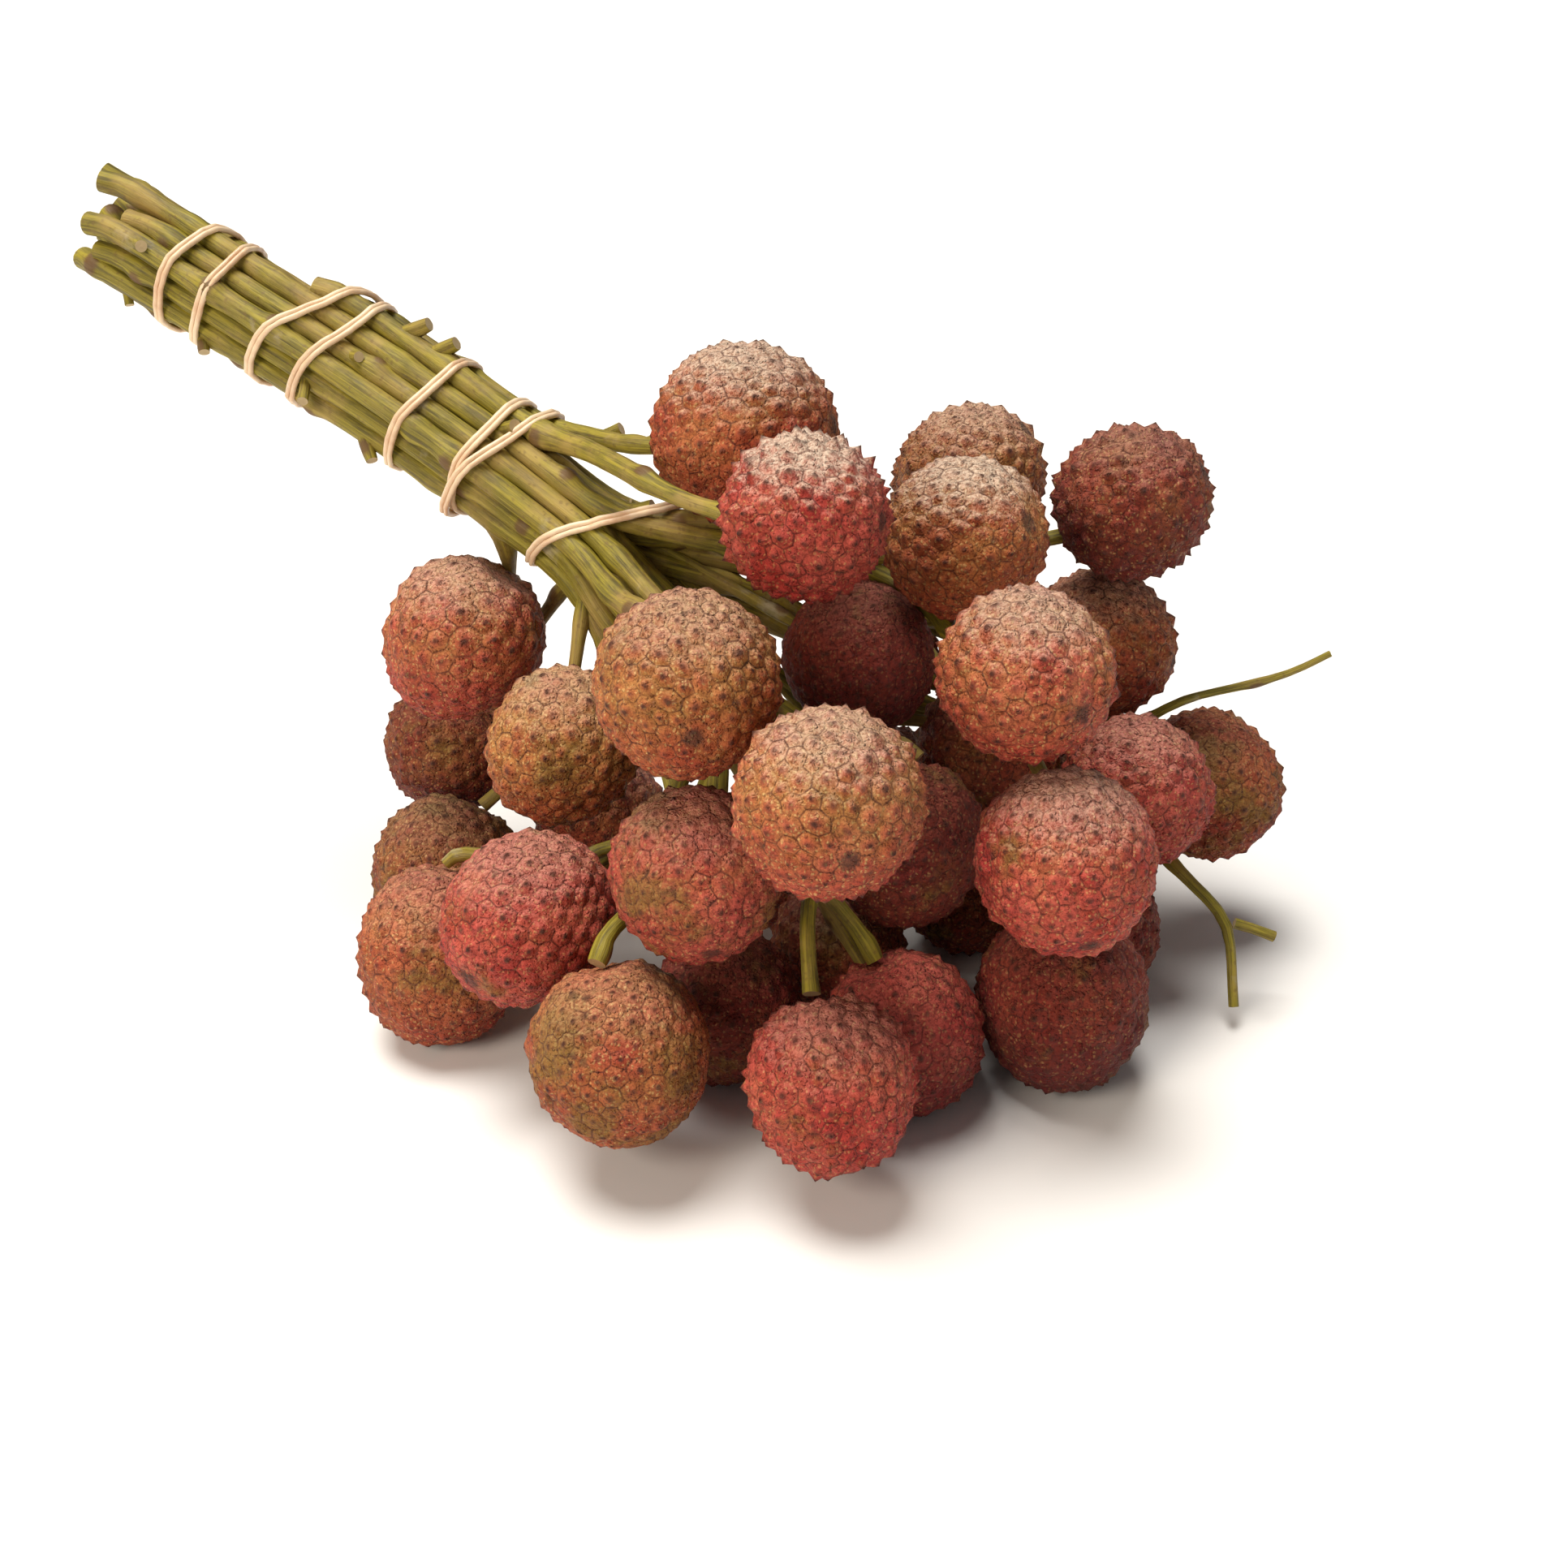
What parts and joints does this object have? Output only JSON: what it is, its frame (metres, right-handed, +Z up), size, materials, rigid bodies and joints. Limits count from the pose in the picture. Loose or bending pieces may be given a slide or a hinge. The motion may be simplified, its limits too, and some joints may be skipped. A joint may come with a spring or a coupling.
{
  "type": "lychee bunch",
  "caption": "Bunch of fresh lychees heaped on their fanned stalks, the cut stalks gathered into a slanting sheaf tied with rubber bands, lying on a surface.",
  "frame": {"origin": "middle of the underside of the bunch's bounding box, on the surface it lies on", "axes": "+Z up from the surface; the cut ends of the stalks point towards -X, rising and leaning to +Y; the fruit heap lies towards +X, its fullest face towards -Y"},
  "size_m": [0.2786, 0.1852, 0.1596],
  "materials": {
    "skin_rosy": "matt bumpy rosy fruit skin with cream dust on top",
    "skin_tawny": "matt bumpy tawny fruit skin",
    "skin_deep": "matt bumpy deep red fruit skin",
    "stalk_bark": "dull olive and tan bark",
    "band_rubber": "smooth slightly shiny natural rubber"
  },
  "bodies": {
    "root": {"lychee_01": "skin_tawny", "lychee_02": "skin_rosy", "lychee_03": "skin_tawny", "lychee_04": "skin_tawny", "lychee_05": "skin_deep", "lychee_06": "skin_tawny", "lychee_07": "skin_rosy", "lychee_08": "skin_deep", "lychee_09": "skin_tawny", "lychee_10": "skin_tawny", "lychee_11": "skin_rosy", "lychee_12": "skin_deep", "lychee_13": "skin_deep", "lychee_14": "skin_tawny", "lychee_15": "skin_rosy", "lychee_16": "skin_rosy", "lychee_17": "skin_rosy", "lychee_18": "skin_deep", "lychee_19": "skin_rosy", "lychee_20": "skin_rosy", "lychee_21": "skin_tawny", "lychee_22": "skin_deep", "lychee_23": "skin_deep", "lychee_24": "skin_rosy", "lychee_25": "skin_rosy", "lychee_26": "skin_tawny", "lychee_27": "skin_deep", "lychee_28": "skin_deep", "lychee_29": "skin_deep", "lychee_30": "skin_deep", "lychee_31": "skin_deep", "lychee_32": "skin_deep", "lychee_33": "skin_deep", "lychee_34": "skin_deep", "lychee_35": "skin_deep", "lychee_36": "skin_deep", "stalk_01": "stalk_bark", "stalk_02": "stalk_bark", "stalk_03": "stalk_bark", "stalk_04": "stalk_bark", "stalk_05": "stalk_bark", "stalk_06": "stalk_bark", "stalk_07": "stalk_bark", "stalk_08": "stalk_bark", "stalk_09": "stalk_bark", "stalk_10": "stalk_bark", "stalk_11": "stalk_bark", "stalk_12": "stalk_bark", "stalk_13": "stalk_bark", "stalk_14": "stalk_bark", "stalk_15": "stalk_bark", "stalk_16": "stalk_bark", "stalk_17": "stalk_bark", "stalk_18": "stalk_bark", "stalk_19": "stalk_bark", "band_top": "band_rubber", "band_upper": "band_rubber", "band_middle": "band_rubber", "band_lower": "band_rubber", "band_neck": "band_rubber"}
  },
  "joints": []
}
